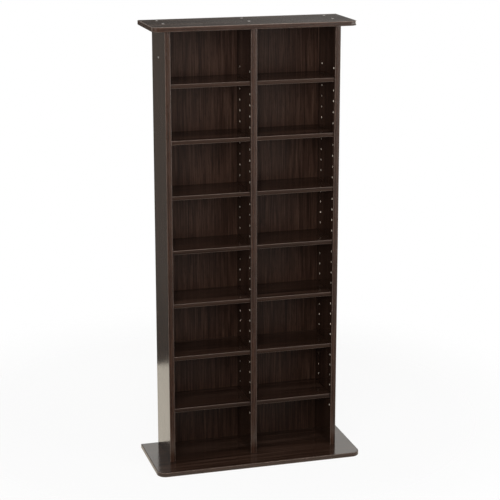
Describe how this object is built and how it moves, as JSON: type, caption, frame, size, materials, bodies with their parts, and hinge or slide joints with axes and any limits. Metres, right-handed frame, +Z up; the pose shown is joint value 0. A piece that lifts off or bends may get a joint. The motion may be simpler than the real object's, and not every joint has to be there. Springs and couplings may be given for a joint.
{
  "type": "cd and dvd storage tower",
  "caption": "Tall open storage tower for disc cases: a divided case on a wide base plate under a wide top plate, with a thin back and shelves that slide off hidden pins.",
  "frame": {"origin": "on the floor, under the middle of the base plate", "axes": "+Z up, -Y towards the open front, +X to the right seen from the front"},
  "size_m": [0.754, 0.296, 1.576],
  "materials": {
    "panel_laminate": "dark brown laminate with faint upright grain, satin, over particleboard",
    "plate_laminate": "dark brown laminate with faint lengthwise grain, satin, over particleboard",
    "shelf_laminate": "dark brown laminate with faint lengthwise grain, satin, over particleboard",
    "back_board": "dark brown printed hardboard with upright grain, dull",
    "edge_band": "dark brown plastic edge band, satin",
    "steel": "zinc-plated steel"
  },
  "bodies": {
    "case": {"base_plate": "plate_laminate", "base_edge_band": "edge_band", "top_plate": "plate_laminate", "top_edge_band": "edge_band", "left_side_panel": "panel_laminate", "left_side_edge_band": "edge_band", "right_side_panel": "panel_laminate", "right_side_edge_band": "edge_band", "center_divider": "panel_laminate", "center_divider_edge_band": "edge_band", "left_back_panel": "back_board", "right_back_panel": "back_board", "left_shelf_pins": "steel", "right_shelf_pins": "steel", "top_screws": "steel", "base_screws": "steel", "left_side_screw": "steel"},
    "left_shelf_1": {"left_shelf_1": "shelf_laminate", "left_shelf_1_edge_band": "edge_band"},
    "left_shelf_2": {"left_shelf_2": "shelf_laminate", "left_shelf_2_edge_band": "edge_band"},
    "left_shelf_3": {"left_shelf_3": "shelf_laminate", "left_shelf_3_edge_band": "edge_band"},
    "left_shelf_4": {"left_shelf_4": "shelf_laminate", "left_shelf_4_edge_band": "edge_band"},
    "left_shelf_5": {"left_shelf_5": "shelf_laminate", "left_shelf_5_edge_band": "edge_band"},
    "left_shelf_6": {"left_shelf_6": "shelf_laminate", "left_shelf_6_edge_band": "edge_band"},
    "left_shelf_7": {"left_shelf_7": "shelf_laminate", "left_shelf_7_edge_band": "edge_band"},
    "right_shelf_1": {"right_shelf_1": "shelf_laminate", "right_shelf_1_edge_band": "edge_band"},
    "right_shelf_2": {"right_shelf_2": "shelf_laminate", "right_shelf_2_edge_band": "edge_band"},
    "right_shelf_3": {"right_shelf_3": "shelf_laminate", "right_shelf_3_edge_band": "edge_band"},
    "right_shelf_4": {"right_shelf_4": "shelf_laminate", "right_shelf_4_edge_band": "edge_band"},
    "right_shelf_5": {"right_shelf_5": "shelf_laminate", "right_shelf_5_edge_band": "edge_band"},
    "right_shelf_6": {"right_shelf_6": "shelf_laminate", "right_shelf_6_edge_band": "edge_band"},
    "right_shelf_7": {"right_shelf_7": "shelf_laminate", "right_shelf_7_edge_band": "edge_band"}
  },
  "joints": [
    {"name": "left_shelf_1_slide", "type": "slide", "parent": "case", "child": "left_shelf_1", "axis": [0, -1, 0], "range_m": [0, 0.17]},
    {"name": "left_shelf_2_slide", "type": "slide", "parent": "case", "child": "left_shelf_2", "axis": [0, -1, 0], "range_m": [0, 0.17]},
    {"name": "left_shelf_3_slide", "type": "slide", "parent": "case", "child": "left_shelf_3", "axis": [0, -1, 0], "range_m": [0, 0.17]},
    {"name": "left_shelf_4_slide", "type": "slide", "parent": "case", "child": "left_shelf_4", "axis": [0, -1, 0], "range_m": [0, 0.17]},
    {"name": "left_shelf_5_slide", "type": "slide", "parent": "case", "child": "left_shelf_5", "axis": [0, -1, 0], "range_m": [0, 0.17]},
    {"name": "left_shelf_6_slide", "type": "slide", "parent": "case", "child": "left_shelf_6", "axis": [0, -1, 0], "range_m": [0, 0.17]},
    {"name": "left_shelf_7_slide", "type": "slide", "parent": "case", "child": "left_shelf_7", "axis": [0, -1, 0], "range_m": [0, 0.17]},
    {"name": "right_shelf_1_slide", "type": "slide", "parent": "case", "child": "right_shelf_1", "axis": [0, -1, 0], "range_m": [0, 0.17]},
    {"name": "right_shelf_2_slide", "type": "slide", "parent": "case", "child": "right_shelf_2", "axis": [0, -1, 0], "range_m": [0, 0.17]},
    {"name": "right_shelf_3_slide", "type": "slide", "parent": "case", "child": "right_shelf_3", "axis": [0, -1, 0], "range_m": [0, 0.17]},
    {"name": "right_shelf_4_slide", "type": "slide", "parent": "case", "child": "right_shelf_4", "axis": [0, -1, 0], "range_m": [0, 0.17]},
    {"name": "right_shelf_5_slide", "type": "slide", "parent": "case", "child": "right_shelf_5", "axis": [0, -1, 0], "range_m": [0, 0.17]},
    {"name": "right_shelf_6_slide", "type": "slide", "parent": "case", "child": "right_shelf_6", "axis": [0, -1, 0], "range_m": [0, 0.17]},
    {"name": "right_shelf_7_slide", "type": "slide", "parent": "case", "child": "right_shelf_7", "axis": [0, -1, 0], "range_m": [0, 0.17]}
  ]
}
